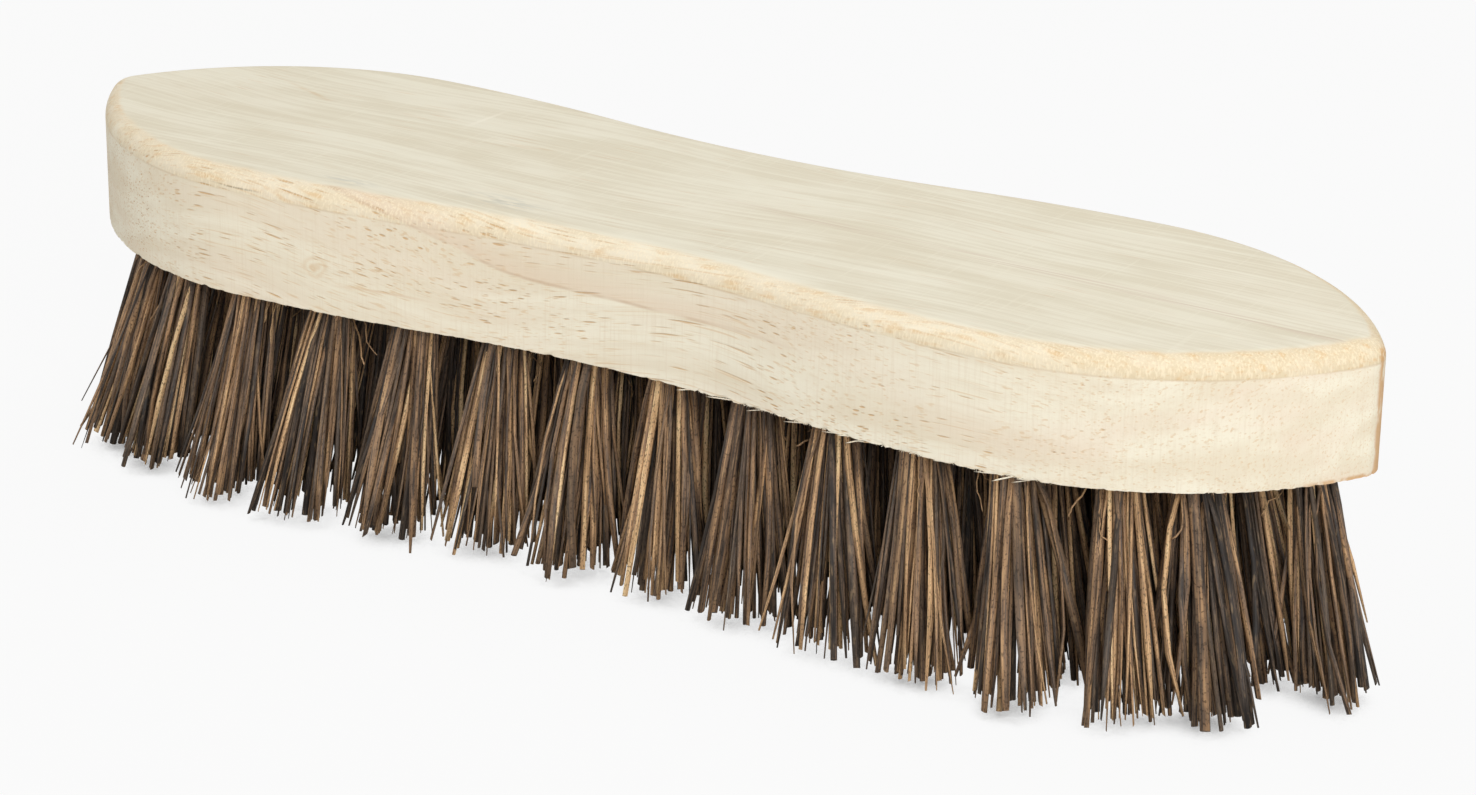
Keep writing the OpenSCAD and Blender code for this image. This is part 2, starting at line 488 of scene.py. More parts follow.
clusters = smooth(grain(bent, (40.0, 12.0, 4.0), 2.0), 0.32, 0.54) * (1 - 0.7 * to_right)
on_faces = 1 - 0.62 * on_top
long_pores = pores(bent, (17.0, 0.55, 0.55), 0.12, 0.32)
short_pores = pores(bent, (6.0, 0.45, 0.45), 0.10, 0.32)
all_pores = (long_pores + 0.7 * short_pores) * (0.2 + 0.8 * clusters) * on_faces
pore_mask = smooth(all_pores, 0.0, 0.9)
pitted = over(pore_mask * 0.75, ground, PORE)
darkest = smooth(all_pores * smooth(grain(bent, (30.0, 6.0, 5.0)), 0.55, 0.7), 0.3, 0.9)
pitted = over(darkest * 0.5, pitted, DARK_PORE)
print("Wood nodes so far:", len(wood.node_tree.nodes))

# %% [markdown]
# Then the marks that make this block itself. A growth line slants down the front from the
# top edge and levels out, with a flush of tan above it. A pin knot sits low on the front
# near the left end, with a curved line of grain beside it. A brown streak runs along the
# top to the right tip. Each mark is placed in millimetres, as measured from the
# photograph.

# %% The growth line, the knot and the streak
line_height = 47.3 + 9.0 * smooth(along, -9.0, -54.0) + 3.0 * grain(spot, (40.0, 30.0, 30.0))
above_line = height - line_height + 1.5
growth_line = near(above_line, 0.0, 0.45) * smooth(grain(spot, (9.0, 5.0, 3.0)), 0.35, 0.6)
line_reach = smooth(along, 42.0, 10.0) * in_front * (1 - on_top)
tan_flush = smooth(above_line, -0.3, 0.4) * smooth(above_line, 4.5, 0.5) * line_reach
marked = over(tan_flush * 0.5, pitted, colour(226, 202, 176))
marked = over(growth_line * line_reach * 0.55, marked, colour(196, 160, 124))

wander = grain(spot, (2.2, 2.2, 2.2), 1.0)
knot_run = (along + 50.1) / 1.25 + 2.2 * (wander - 0.5)
knot_rise = height - 43.1 + 1.6 * (wander - 0.5)
knot_square = knot_run * knot_run + knot_rise * knot_rise
knot_distance = knot_square.maths("SQRT", knot_square)
knot_rings = 0.5 + 0.5 * knot_distance.maths("SINE", knot_distance * 5.2)
knot = knot_rings * smooth(knot_distance, 2.4, 0.5) * in_front
marked = over(knot * 0.5, marked, colour(214, 178, 128))
swoosh = near(height - 41.2 + 0.004 * (along + 37) * (along + 37), 0.0, 0.35)
swoosh = swoosh * near(along, -38.0, 11.0) * in_front * (1 - on_top)
marked = over(swoosh * 0.4, marked, colour(206, 162, 110))

streak_line = across + 0.042 * along - 0.6 + 3.0 * grain(spot, (30.0, 40.0, 40.0))
streak = near(streak_line, 1.5, 1.9) * smooth(along, -5.0, 30.0) * on_top
streak = streak * smooth(grain(spot, (30.0, 0.5, 4.0), 3.0), 0.42, 0.60)
marked = over(streak * 0.55, marked, colour(206, 184, 160))
print("Wood nodes so far:", len(wood.node_tree.nodes))

# %% [markdown]
# Then the marks of handling: two grey smudges, two tan stains and two pale scratches, all
# on the top.

# %% Smudges, stains and scratches
smudge = near(along, -22.0, 11.0) * near(across, -19.0, 4.0)
smudge = smudge + near(along, -47.0, 7.0) * near(across, -24.0, 2.5)
smudge = smudge * on_top * smooth(grain(spot, (4.0, 0.9, 2.0), 3.0), 0.40, 0.62)
worn = over(smudge * 0.5, marked, colour(186, 184, 172))

stain = near(across + 0.39 * along + 21.4, 0.0, 0.8) * near(along, -80.0, 9.0)
stain = stain + near(across - 0.1 * along, 9.0, 0.5) * near(along, -34.0, 7.0)
stain = stain * on_top * smooth(grain(spot, (5.0, 1.0, 2.0), 2.0), 0.35, 0.60)
worn = over(stain * 0.5, worn, colour(212, 182, 136))

scratch = near(across - 0.04 * along, 6.9, 0.45) * near(along, -38.0, 7.0)
scratch = scratch + near(along - 0.07 * across, -49.2, 0.7) * near(across, 13.5, 7.0)
worn = over(scratch * on_top * 0.6, worn, colour(247, 240, 222))
print("Wood nodes so far:", len(wood.node_tree.nodes))

# %% [markdown]
# Last come the marks of the tools. The right tip has a thin burnt line where the saw
# turned, and the moulded edge a short crack and a bruise. The sides keep the fine upright
# lines of the cutter, which follow the outline, so they are read from X and Y and hardly
# from Z. The cutter raised a pale fuzz on the edge, and left a faint step below it.

# %% The burnt tip, the crack and the cutter's lines
burn = smooth(across, -1.4, 0.0) * smooth(across, 5.0, 3.4) * smooth(along, 108.0, 110.0)
burn = burn * smooth(height, 55.5, 53.0)
corner = smooth(height, 36.9, 36.2) * smooth(along, 103.0, 110.5)
scorch = (burn + corner) * smooth(grain(spot, (2.0, 2.0, 3.0)), 0.30, 0.55)
worn = over(smooth(scorch, 0.0, 1.0) * 0.8, worn, colour(206, 156, 100))

crack = near(height - 53.2 - 0.5 * uneven, 0.0, 0.2) * near(along, -64.5, 6.5)
bruise = near(along, 68.5, 1.6) * near(height, 53.7, 0.7)
worn = over(crack * in_front * 0.7, worn, colour(140, 126, 104))
worn = over(bruise * in_front * 0.4, worn, colour(204, 166, 112))

cutter = grain(spot, (0.33, 0.33, 8.0), 3.0)
worn = over(smooth(cutter, 0.46, 0.74) * on_side * 0.28, worn, colour(224, 206, 178))
fuzz = grain(spot, (0.30, 0.30, 1.3), 2.0)
worn = over(smooth(fuzz, 0.46, 0.66) * on_round * 0.6, worn, colour(244, 230, 202))
step_shown = smooth(grain(spot, (7.0, 7.0, 2.0)), 0.35, 0.6)
cutter_step = near(height, round_height - 0.1, 0.3) * step_shown
worn = over(cutter_step * 0.35, worn, colour(208, 180, 142))
print("Wood nodes so far:", len(wood.node_tree.nodes))

# %% [markdown]
# The same patterns give the surface its relief and its sheen. The grain, the cutter's
# lines and the fuzz stand up, and the pores sink in.

# %% Surface of the wood
WOOD_RELIEF = 0.12 * MM
lift = 0.30 * fine + 0.22 * cutter * on_side + 0.55 * fuzz * on_round + 0.1 * fuzz
relief = lift - 0.6 * pore_mask
finish_material(
    wood_start,
    worn,
    0.62 + 0.18 * fine + 0.10 * pore_mask,
    relief,
    WOOD_RELIEF,
    **{"Specular IOR Level": 0.28},
)
print("The wood has", len(wood.node_tree.nodes), "nodes")

# %% [markdown]
# ## The block
#
# A real block is sawn to its outline, moulded round the top and drilled from below. The
# mesh is made in the same order. One vertex is spun round the centre of each arc, which
# leaves a trail of edges, and two mirrors complete the outline.

# %% Outline of the block
def spin_on(shape, vertex, centre, angle, steps):
    """Carries a vertex round a centre, and returns the vertex at the end of its trail."""
    made = bmesh.ops.spin(
        shape,
        geom=[vertex],
        cent=(*centre, TRIM),
        axis=(0, 0, 1),
        angle=angle,
        steps=steps,
        use_merge=False,
        use_duplicate=False,
    )
    return next(g for g in made["geom_last"] if isinstance(g, bmesh.types.BMVert))


block_shape = bmesh.new()
corner_vertex = block_shape.verts.new((LENGTH / 2, 0, TRIM))
corner_vertex = spin_on(block_shape, corner_vertex, (tip_x, 0), tip_turn, 8)
shoulder_turn = math.pi / 2 - tip_turn
corner_vertex = spin_on(
    block_shape, corner_vertex, (WIDEST_AT, shoulder_y), shoulder_turn, 32
)
corner_vertex = spin_on(block_shape, corner_vertex, (WIDEST_AT, flank_y), flank_turn, 14)
corner_vertex = spin_on(block_shape, corner_vertex, (0, waist_y), -flank_turn, 14)

for axis in "XY":
    bmesh.ops.mirror(
        block_shape,
        geom=block_shape.verts[:] + block_shape.edges[:],
        matrix=Matrix.Identity(4),
        merge_dist=0.001 * MM,
        axis=axis,
    )
print("The outline has", len(block_shape.edges), "edges")

# %% [markdown]
# The outline is filled, pulled up to the block's thickness, and its top edge is rounded
# with a bevel. The moulding cutter leaves a visible line where its curve ends, so the flat
# faces stay flat shaded, and only the walls and the round are smooth.

# %% Body of the block
bmesh.ops.edgeloop_fill(block_shape, edges=block_shape.edges[:])
pulled = bmesh.ops.extrude_face_region(block_shape, geom=block_shape.faces[:])
top_corners = [g for g in pulled["geom"] if isinstance(g, bmesh.types.BMVert)]
bmesh.ops.translate(block_shape, verts=top_corners, vec=(0, 0, THICKNESS))
top_edges = [g for g in pulled["geom"] if isinstance(g, bmesh.types.BMEdge)]
bmesh.ops.bevel(
    block_shape,
    geom=top_edges,
    offset=TOP_ROUND,
    offset_type="OFFSET",
    segments=10,
    profile=0.5,
    affect="EDGES",
    material=-1,
)
bmesh.ops.recalc_face_normals(block_shape, faces=block_shape.faces[:])
print("The blank has", len(block_shape.faces), "faces")

# %% [markdown]
# The sawn lower edge isn't perfect. A cut round the wall just above it keeps the damage
# near the edge. Then the edge is cut into short pieces, and each new vertex is nudged in
# and up by a tenth of a millimetre or so, more on the front right of the middle, where the
# grain tore out. Nudging inwards keeps the block inside its true size.

# %% Small tears along the lower edge
TEAR_HEIGHT = 0.7 * MM
TEAR_DEPTH = 0.22 * MM
TOUCH = 0.01 * MM

bmesh.ops.bisect_plane(
    block_shape,
    geom=block_shape.verts[:] + block_shape.edges[:] + block_shape.faces[:],
    plane_co=(0, 0, TRIM + TEAR_HEIGHT),
    plane_no=(0, 0, 1),
)
low_edges = [
    edge
    for edge in block_shape.edges
    if all(vertex.co.z < TRIM + TOUCH for vertex in edge.verts)
]
bmesh.ops.subdivide_edges(block_shape, edges=low_edges, cuts=3)
for vertex in block_shape.verts:
    if vertex.co.z < TRIM + TOUCH:
        rough = noise.noise(vertex.co * 900) + 0.6 * noise.noise(vertex.co * 2700)
        tear = 1.6 if 15 * MM < vertex.co.x < 75 * MM and vertex.co.y < 0 else 0.8
        nudge = max(0.0, rough + 0.1) * tear * TEAR_DEPTH
        inwards = Vector((-vertex.co.x * 0.3, -vertex.co.y, 0)).normalized()
        vertex.co += inwards * nudge * 0.8 + Vector((0, 0, nudge))
print("The lower edge has", 4 * len(low_edges), "pieces")

# %% [markdown]
# The holes are drilled with a Boolean modifier, which is the mesh's own drill. All the
# cutters are one mesh, so it runs once. The modifier is then applied.

# %% Drilled holes
def into_wood(mouth):
    """The direction in which a hole is drilled."""
    return (Vector((0, 0, TRIM)) - lean(mouth)).normalized()


drill_shape = bmesh.new()
for mouth in mouths.values():
    depth = HOLE_DEPTH + 1 * MM
    middle = mouth + into_wood(mouth) * (depth / 2 - 1 * MM)
    aim = into_wood(mouth).to_track_quat("Z", "Y").to_matrix().to_4x4()
    bmesh.ops.create_cone(
        drill_shape,
        cap_ends=True,
        segments=24,
        radius1=HOLE_R,
        radius2=HOLE_R,
        depth=depth,
        matrix=Matrix.Translation(middle) @ aim,
    )
drill_mesh = bpy.data.meshes.new("drill")
drill_shape.to_mesh(drill_mesh)
drill_shape.free()
drill = bpy.data.objects.new("drill", drill_mesh)
bpy.context.scene.collection.objects.link(drill)

for face in block_shape.faces:
    level = face.calc_center_median().z
    face.smooth = TRIM + TEAR_HEIGHT < level < TRIM + THICKNESS - TOUCH
block = make_piece("brush_block", block_shape, wood)
cut = block.modifiers.new("holes", "BOOLEAN")
cut.operation = "DIFFERENCE"
cut.solver = "EXACT"
cut.object = drill
bpy.context.view_layer.update()
drilled = bpy.data.meshes.new_from_object(
    block.evaluated_get(bpy.context.evaluated_depsgraph_get())
)
block.modifiers.clear()
block.data = drilled
bpy.data.objects.remove(drill)
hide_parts("block")
print("The drilled block has", len(block.data.polygons), "faces")

# %% [markdown]
# ## The fibre
#
# The strands are split from the leaf stalks of a palm. They run from near black through
# brown to straw, each with fine dark lines along it and small dark specks. The lines and
# the patches are partly the fibre's own streaks and partly painted shading across each
# strand. Each strand carries three attributes: a tone that is its own, its direction round
# the strand, and the distance along it. Together they place the pattern on the strand,
# wherever it points.

# %% Fibre material
FIBRE_RELIEF = 0.05 * MM
fibre, fibre_start = new_material("palm_fibre")
tone = fibre_start.make("ShaderNodeAttribute", {"attribute_name": "tone"}, {}, "Fac")
around = fibre_start.make("ShaderNodeAttribute", {"attribute_name": "around"}, {}, "Vector")
run = fibre_start.make("ShaderNodeAttribute", {"attribute_name": "run"}, {}, "Fac")
side_x = around.make("ShaderNodeSeparateXYZ", {}, {0: around}, "X")
side_y = side_x.other("Y")
seed = side_x.other("Z")
strand_spot = run.make(
    "ShaderNodeCombineXYZ", {}, {"X": 0.4 * side_x, "Y": 0.4 * side_y + 40 * seed, "Z": run}
)

lines = grain(strand_spot, (0.14, 0.14, 9.0), 2.0)
patches = grain(strand_spot, (0.7, 0.7, 7.0), 2.0)
specks = smooth(grain(strand_spot, (0.20, 0.20, 0.42), 1.0), 0.55, 0.68)
scuffs = smooth(grain(strand_spot, (0.35, 0.35, 2.2), 3.0), 0.56, 0.70)
# Painted shading: the patches and lines add light and dark across each strand, on top of its own
# streaks.
patches_and_painted_shading = 0.24 * (smooth(patches, 0.34, 0.66) - 0.5)
lines_and_painted_shading = 0.26 * (smooth(lines, 0.36, 0.64) - 0.5)
shown = tone + patches_and_painted_shading + lines_and_painted_shading
hue = shown.make(
    "ShaderNodeValToRGB",
    {
        "stops": [
            (0.00, colour(40, 36, 34)),
            (0.16, colour(66, 58, 52)),
            (0.30, colour(96, 81, 69)),
            (0.46, colour(133, 106, 82)),
            (0.62, colour(170, 134, 99)),
            (0.80, colour(214, 174, 128)),
            (1.00, colour(240, 208, 160)),
        ]
    },
    {0: shown},
)
weathered = smooth(seed, 0.60, 0.95) * (1 - smooth(tone, 0.45, 0.65))
hue = over(weathered * 0.5, hue, colour(92, 81, 70))
hue = over(specks * 0.65, hue, colour(50, 38, 30))
hue = over(scuffs * 0.25, hue, colour(200, 168, 128))
finish_material(
    fibre_start,
    hue,
    0.46 + 0.25 * lines,
    lines + 0.4 * specks,
    FIBRE_RELIEF,
    **{"Specular IOR Level": 0.3},
)
print("The fibre has", len(fibre.node_tree.nodes), "nodes")

# %% [markdown]
# ## One strand
#
# A strand is a thin rod of six sides, or of four if it is fine. It could be a curve with a
# bevel, but a curve can't carry its own tone or a ragged end. Here a small disc is extruded
# from ring to ring along a path. Each ring is placed by a matrix: where it is, which way it
# faces, and how wide and flat it is. New rings inherit the first ring's attributes, so only
# the distance along the strand has to be set again.

# %% Extruding a strand
def facing(direction, turned):
    """A rotation that looks along a direction, turned round it by an angle."""
    look = direction.to_track_quat("Z", "Y").to_matrix().to_4x4()
    return look @ Matrix.Rotation(turned, 4, "Z")


def grow_strand(shape, path, radius, flatness, shade, dice, sides=6, point=0.8):
    """Extrudes one strand along a path, with a slanted cut at its end."""
    tone_layer = shape.verts.layers.float["tone"]
    around_layer = shape.verts.layers.float_vector["around"]
    run_layer = shape.verts.layers.float["run"]
    turned = dice.uniform(0, math.pi)
    seed_value = dice.random()
    last = len(path) - 1
    places = []
    for step, here in enumerate(path):
        direction = (path[min(step + 1, last)] - path[max(step - 1, 0)]).normalized()
        wide = radius * (point if step == last else 1.0)
        size = Matrix.Diagonal((wide, wide * flatness, wide, 1))
        place = Matrix.Translation(here) @ facing(direction, turned)
        if step == last:
            place = place @ Matrix.Rotation(dice.uniform(-0.9, 0.9), 4, "X")
        places.append(place @ size)

    disc = bmesh.ops.create_circle(
        shape, cap_ends=True, radius=1.0, segments=sides, matrix=places[0]
    )
    back_to_disc = places[0].inverted()
    for vertex in disc["verts"]:
        unit = back_to_disc @ vertex.co
        vertex[tone_layer] = shade
        vertex[around_layer] = (unit.x, unit.y, seed_value)
    face = disc["verts"][0].link_faces[0]
    distance = 0.0
    for step in range(1, last + 1):
        distance += (path[step] - path[step - 1]).length / MM
        grown = bmesh.ops.extrude_face_region(shape, geom=[face])["geom"]
        ring = [g for g in grown if isinstance(g, bmesh.types.BMVert)]
        face = next(g for g in grown if isinstance(g, bmesh.types.BMFace))
        move = places[step] @ places[step - 1].inverted()
        bmesh.ops.transform(shape, matrix=move, verts=ring)
        for vertex in ring:
            vertex[run_layer] = distance


def strand_shape():
    """An empty bmesh with the three attributes that a strand carries."""
    shape = bmesh.new()
    shape.verts.layers.float.new("tone")
    shape.verts.layers.float_vector.new("around")
    shape.verts.layers.float.new("run")
    return shape


def to_piece(name, shape, material):
    """Smooths the strands, leaves their cut ends flat, and makes the piece."""
    bmesh.ops.recalc_face_normals(shape, faces=shape.faces[:])
    for face in shape.faces:
        face.smooth = len(face.verts) == 4
    return make_piece(name, shape, material)


print("A strand that passes 6 points on 6 sides has", 5 * 6 + 2, "faces")

# %% [markdown]
# ## One tuft
#
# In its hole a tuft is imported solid, so its strands start in a sunflower pattern, which
# fills a disc evenly. Below the block the tuft spreads and parts into eight locks, as its
# CAD solid does, and each strand is drawn towards the middle of its lock. On top of that
# each strand has its own small error at the tip, a few go their own way and cross the
# others, and the trimmed ends are ragged. Nothing may pass the CAD model's box.

# %% Locks of a tuft, and the limits of the box
LOCK_ANGLE = 2 * math.pi / LOCKS
LOCK_PULL = 0.35
LOCK_TURN = math.radians(19)
box_low, box_high = cad_box


def kept_inside(point, radius):
    """A point moved to where a strand of that radius stays in the CAD model's box."""
    for axis in range(3):
        low = box_low[axis] + radius * 1.2
        high = box_high[axis] - radius * 1.2
        point[axis] = min(max(point[axis], low), high)
    return point


def in_lock(angle, share, number):
    """Where a strand's tip stands: its angle, how far in it is drawn, and how short it is."""
    first = LOCK_TURN * number
    lock = round((angle - first) / LOCK_ANGLE)
    off = angle - first - lock * LOCK_ANGLE
    drawn = first + lock * LOCK_ANGLE + off * (1 - LOCK_PULL * share)
    inset = GROOVE * share * (abs(off) / (LOCK_ANGLE / 2)) ** 2
    return drawn, inset, RAGGED * SHORT[(lock + 3 * number) % LOCKS] * share


print("Locks in all:", LOCKS * len(mouths))

# %% [markdown]
# A strand's path starts well inside the hole, leaves it in line with the tuft, and then
# swings out to its tip on a curve, with a bow of its own. Along the brush the tips just
# reach those of the next tuft. The three tufts at the front left splay further, as they
# do in the photograph.

# %% Path of one strand
STRANDS = 64
GOLDEN_ANGLE = math.pi * (3 - math.sqrt(5))
HALF_PITCH = 8 * MM
HIDDEN = 8 * MM
MOST_STRAY = 5 * MM
BROKEN_SHARE = 0.07
reaches = {name: spread(mouth) for name, mouth in mouths.items()}
SPLAYED = {"c1_r1": (-0.5, -2.5), "c2_r1": (-1.5, -2.5), "c3_r1": (-1.5, 0.0)}


def tip_error(dice):
    """How far a tip tends to miss its place, in millimetres. Most miss it by little."""
    stray = dice.random()
    if stray < 0.60:
        return 0.6
    return 1.8 if stray < 0.85 else 3.6


def strand_path(name, mouth, index, radius, dice, error=None):
    """The path of one strand, from inside its hole to its trimmed end."""
    share = math.sqrt((index + 0.5) / STRANDS)
    angle = index * GOLDEN_ANGLE + dice.uniform(-0.2, 0.2)
    axis = into_wood(mouth)
    start = Vector((math.cos(angle), math.sin(angle), 0)) * share
    root = mouth + start * (HOLE_R - radius * 1.1)
    drawn, inset, short = in_lock(angle, share, numbers[name])
    reach = reaches[name]
    along_brush = (share * min(1.15 * reach, HALF_PITCH) - 0.6 * inset) * math.cos(drawn)
    across_brush = (share * 1.04 * reach - 0.6 * inset) * math.sin(drawn)
    end = tips(mouth) + Vector((along_brush, across_brush, 0))
    splay = SPLAYED.get(name, (0, 0))
    end += Vector((*splay, 0)) * MM * (0.5 + 0.5 * share)
    usual_error = tip_error(dice)
    error = error or usual_error
    wrong = Vector((dice.gauss(0, error), dice.gauss(0, error), 0)) * MM
    end += wrong * min(1.0, MOST_STRAY / max(wrong.length, TOUCH))
    end = kept_inside(end, dice.uniform(radius, 1.4 * MM))
    short += abs(dice.gauss(0, 0.6 * MM))
    if dice.random() < BROKEN_SHARE:
        short += dice.uniform(2 * MM, 14 * MM)
    end = root.lerp(end, 1 - short / TRIM)
    curl = 0.4 if dice.random() < 0.85 else 1.1
    bow = Vector((dice.gauss(0, curl), dice.gauss(0, curl), 0)) * MM
    pull = root.lerp(end, 0.4) - axis * dice.uniform(0, 3) * MM
    path = [root + axis * HIDDEN, root]
    for t in (0.22, 0.48, 0.74, 1.0):
        curved = root * (1 - t) ** 2 + pull * 2 * t * (1 - t) + end * t**2
        path.append(curved + bow * 4 * t * (1 - t))
    return path[:2] + [kept_inside(p, radius) for p in path[2:]]


print("Strands of full width:", STRANDS * len(mouths))

# %% [markdown]
# A tuft's strands are mostly brown, some nearly black, and a few straw-coloured. Each tuft
# has its own lean towards dark or light. A few thin hairs hang in curls near the block.

# %% Tone of a strand, and path of a hair
HAIR_STEPS = 9


def strand_tone(dice, tone_lean_and_painted_shade):
    """The tone of a strand, from 0 for black to 1 for straw."""
    kind = dice.random()
    if kind < 0.12:
        return dice.uniform(0.08, 0.24)
    if kind < 0.80:
        return min(1, max(0, dice.gauss(0.43 + tone_lean_and_painted_shade, 0.12)))
    return dice.uniform(0.60, 0.90)


def hair_path(mouth, dice):
    """A thin curly hair that leaves a tuft near its root."""
    angle = dice.uniform(0, 2 * math.pi)
    out = Vector((math.cos(angle), math.sin(angle), 0))
    if out.dot(mouth) > 0.4 * mouth.length:
        out = -out
    here = mouth + out * HOLE_R * 0.8
    heading = (out * 0.35 - into_wood(mouth)).normalized()
    path = [here + into_wood(mouth) * 2 * MM, here]
    for step in range(HAIR_STEPS):
        wobble = Vector((dice.gauss(0, 1), dice.gauss(0, 1), dice.gauss(-0.3, 0.6)))
        heading = (heading + 0.36 * wobble).normalized()
        here = here + heading * dice.uniform(0.8, 1.6) * MM
        here.z = min(here.z, TRIM - 0.8 * MM)
        path.append(kept_inside(here.copy(), 0.2 * MM))
    return path


print("A hair passes", 2 + HAIR_STEPS, "points")

# %% [markdown]
# Now every tuft is grown. The inner ones are made a little darker as painted shade, because the
# photograph is nearly black between the outer tufts. Straw-coloured strands stay under a
# millimetre wide. Finer fibres stray between the others, and two whiskers stand out at the left
# end, each given by its tip, its radius and its tone.

# %% All the tufts
FINE_STRANDS = 20
HAIRS = 2
INNER = 12 * MM
INNER_PAINTED_SHADE = 0.12
WHISKERS = {
    "c2_r1": (Vector((-110.8, -14.4, 3.5)) * MM, 0.18 * MM, 0.35),
    "c3_r1": (Vector((-108.9, -17.0, 0.3)) * MM, 0.5 * MM, 0.62),
}
triangles = 0
for name, mouth in mouths.items():
    dice = random.Random(f"tuft {name}")
    tone_lean_and_painted_shade = dice.uniform(-0.07, 0.07)
    # Painted shade: a tuft deep inside the rows gets a darker tone than the outer ones.
    if half_width(mouth.x) - abs(mouth.y) > INNER:
        tone_lean_and_painted_shade -= INNER_PAINTED_SHADE
    tuft_shape = strand_shape()
    for index in range(STRANDS):
        radius = min(0.85, max(0.26, dice.gauss(0.50, 0.14))) * MM
        path = strand_path(name, mouth, index, radius, dice)
        shade = strand_tone(dice, tone_lean_and_painted_shade)
        if shade > 0.6:
            radius = min(radius, 0.5 * MM)
        flatness = dice.uniform(0.4, 0.9)
        point = dice.choice((0.95, 0.9, 0.75, 0.35))
        grow_strand(tuft_shape, path, radius, flatness, shade, dice, point=point)
    if name in WHISKERS:
        end, radius, shade = WHISKERS[name]
        path = [mouth + into_wood(mouth) * HIDDEN, mouth, mouth.lerp(end, 0.5), end]
        grow_strand(tuft_shape, path, radius, 0.8, shade, dice, point=0.5)
    for count in range(FINE_STRANDS):
        radius = dice.uniform(0.15, 0.32) * MM
        path = strand_path(name, mouth, dice.randrange(STRANDS), radius, dice, error=2.2)
        shade = dice.uniform(0.12, 0.75)
        grow_strand(tuft_shape, path, radius, 1.0, shade, dice, sides=4, point=0.5)
    for count in range(HAIRS):
        radius = dice.uniform(0.10, 0.17) * MM
        path = hair_path(mouth, dice)
        grow_strand(tuft_shape, path, radius, 1.0, 0.65, dice, sides=4)
    tuft = to_piece(f"tuft_of_fibre_{name}", tuft_shape, fibre)
    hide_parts(f"tuft_{name}")
    triangles += sum(len(face.vertices) - 2 for face in tuft.data.polygons)
print("Triangles in the tufts:", triangles)

# %% [markdown]
# ## Splinters
#
# The saw left a fuzz of torn wood along the lower edge. Most of it is on the front, right
# of the middle, with a few longer slivers that lie along the edge. They are grown as
# strands, thinner and of wood, and follow the outline from just inside the edge.

# %% Splinters along the lower edge
SPLINTERS = 440
WHERE_TORN = 260
splinter_shape = strand_shape()
dice = random.Random("splinters")
for count in range(SPLINTERS):
    where_torn = count < WHERE_TORN
    first_x, last_x = (15, 78) if where_torn else (-100, 100)
    start_x = dice.uniform(first_x, last_x) * MM
    side = -1 if where_torn or dice.random() < 0.5 else 1
    long_one = where_torn and dice.random() < 0.05
    reach = dice.uniform(-5.0, -2.5) if long_one else dice.uniform(-0.5, 0.5)
    fall = dice.uniform(0.3, 1.3) if long_one else dice.uniform(0.05, 0.4)
    out = dice.uniform(0.1, 0.5) if long_one else dice.uniform(0.0, 0.2)
    path = []
    for t in (0.0, 0.4, 0.75, 1.0):
        x = start_x + reach * t * MM
        y = min(half_width(x) + (out * t - 0.3) * MM, 33.8 * MM) * side
        path.append(Vector((x, y, TRIM + (0.15 - fall * t) * MM)))
    thin = dice.uniform(0.09, 0.14) if long_one else dice.uniform(0.03, 0.06)
    grow_strand(splinter_shape, path, thin * MM, 0.6, 0.5, dice, sides=4, point=0.2)
splinters = to_piece("edge_splinters", splinter_shape, wood)
print("Splinters:", SPLINTERS, "with", len(splinters.data.polygons), "faces")

# %% [markdown]
# ## The staples
#
# Each tuft is held by a staple of drawn wire. The CAD solids have the right shape, so they
# stay, and only get the steel's finish: bright, with faint draw lines.

# %% Steel of the staples
STEEL_RELIEF = 0.02 * MM
steel, steel_start = new_material("staple_steel")
steel_metres = steel_start.make("ShaderNodeTexCoord", {}, {}, "Object")
steel_spot = steel_start.make(
    "ShaderNodeVectorMath", {"operation": "SCALE"}, {0: steel_metres, "Scale": 1 / MM}
)
draw_lines = grain(steel_spot, (0.12, 0.12, 4.0), 2.0)
dull = smooth(grain(steel_spot, (1.5, 1.5, 1.5), 2.0), 0.45, 0.7)
finish_material(
    steel_start,
    over(dull * 0.5, colour(196, 196, 198), colour(150, 148, 146)),
    0.26 + 0.18 * draw_lines + 0.12 * dull,
    draw_lines,
    STEEL_RELIEF,
    **{"Metallic": 1.0},
)
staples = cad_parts["anchor_staples"]
staples.data.materials.clear()
staples.data.materials.append(steel)
print("The staples have", len(staples.data.polygons), "triangles")

# %% [markdown]
# ## Floor and light
#
# The brush stands on a pale floor. To the camera the floor glows nearly white. Close to
# the tips and between them, where little light gets in, it keeps its own shade, so the
# brush stands on it and doesn't float.

# %% Floor
FLOOR_GLOW = 0.92
floor_material, floor_start = new_material("floor")
rays = floor_start.make("ShaderNodeLightPath", {}, {}, "Is Camera Ray")
card = floor_start.make("ShaderNodeBsdfDiffuse", {}, {"Color": colour(190, 190, 188)})
glow = floor_start.make("ShaderNodeEmission", {}, {"Color": (1, 1, 1, 1), "Strength": 1.0})
nearness = floor_start.make(
    "ShaderNodeAmbientOcclusion", {"samples": 8}, {"Distance": 6 * MM}, "AO"
)
open_floor = smooth(nearness, 0.34, 0.72)
pale = floor_start.make(
    "ShaderNodeMixShader", {}, {0: rays * FLOOR_GLOW * open_floor, 1: card, 2: glow}
)
floor_start.make("ShaderNodeOutputMaterial", {}, {"Surface": pale})

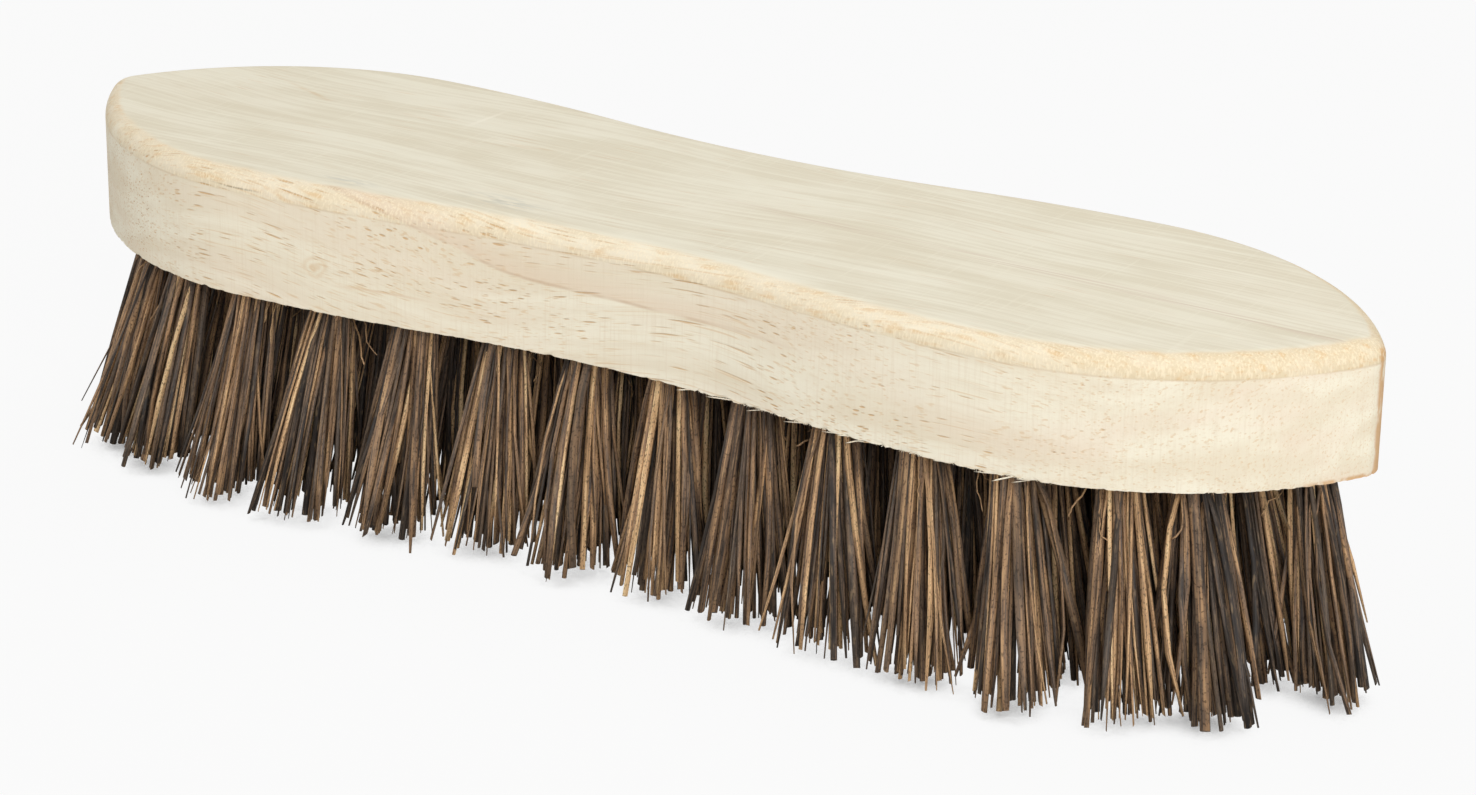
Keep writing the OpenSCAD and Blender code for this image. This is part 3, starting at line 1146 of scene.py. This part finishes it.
floor_shape = bmesh.new()
bmesh.ops.create_grid(floor_shape, x_segments=1, y_segments=1, size=4)
floor_mesh = bpy.data.meshes.new("floor")
floor_shape.to_mesh(floor_mesh)
floor_shape.free()
floor_mesh.materials.append(floor_material)
floor = bpy.data.objects.new("floor", floor_mesh)
bpy.context.scene.collection.objects.link(floor)
floor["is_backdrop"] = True
print("Floor:", floor.dimensions.x, "m wide")

# %% [markdown]
# The light is soft. The main lamp is large and stands to the right of the camera, which is
# why the right shoulder is the brightest part of the front. A low lamp beside it reaches
# in under the block, and weaker ones on the left, above and behind fill the shadows. The
# world looks white to the camera and in reflections, but lights the brush more dimly.

# %% Lamps and world
def add_lamp(name, place, size, power):
    """A square soft lamp that looks at the brush."""
    lamp = bpy.data.lights.new(name, "AREA")
    lamp.shape = "SQUARE"
    lamp.size = size
    lamp.energy = power
    stand = bpy.data.objects.new(name, lamp)
    stand.location = place
    aim = Vector((0, 0, TRIM)) - Vector(place)
    stand.rotation_euler = aim.to_track_quat("-Z", "Y").to_euler()
    bpy.context.scene.collection.objects.link(stand)


add_lamp("main_lamp", (0.90, -0.90, 0.80), 0.8, 12.0)
add_lamp("low_lamp", (1.10, -0.80, 0.25), 0.8, 4.6)
add_lamp("left_lamp", (-1.10, -0.75, 0.45), 0.8, 5.2)
add_lamp("top_lamp", (0.3, 0.3, 1.3), 1.0, 5.2)
add_lamp("back_lamp", (-0.5, 1.1, 0.8), 0.8, 1.2)

world = bpy.data.worlds.new("studio")
bpy.context.scene.world = world
world.use_nodes = True
world.node_tree.nodes.clear()
sky = Wire(world.node_tree)
sight = sky.make("ShaderNodeLightPath", {}, {}, "Is Camera Ray")
seen = sight.maths("MAXIMUM", sight, sight.other("Is Glossy Ray"))
seen = seen.maths("MAXIMUM", seen, sight.other("Is Transmission Ray"))
dim = sky.make("ShaderNodeBackground", {}, {"Color": (1, 1, 1, 1), "Strength": 0.30})
white = sky.make("ShaderNodeBackground", {}, {"Color": (1, 1, 1, 1), "Strength": 1.0})
both = sky.make("ShaderNodeMixShader", {}, {0: seen, 1: dim, 2: white})
sky.make("ShaderNodeOutputWorld", {}, {"Surface": both})
bpy.context.scene.view_settings.view_transform = "Standard"

# %% Print the boxes of the CAD model and of the visual pieces
visual_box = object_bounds()
for title, box in (("CAD", cad_box), ("Visual", visual_box)):
    print(title, [[round(value / MM, 2) for value in corner] for corner in box])
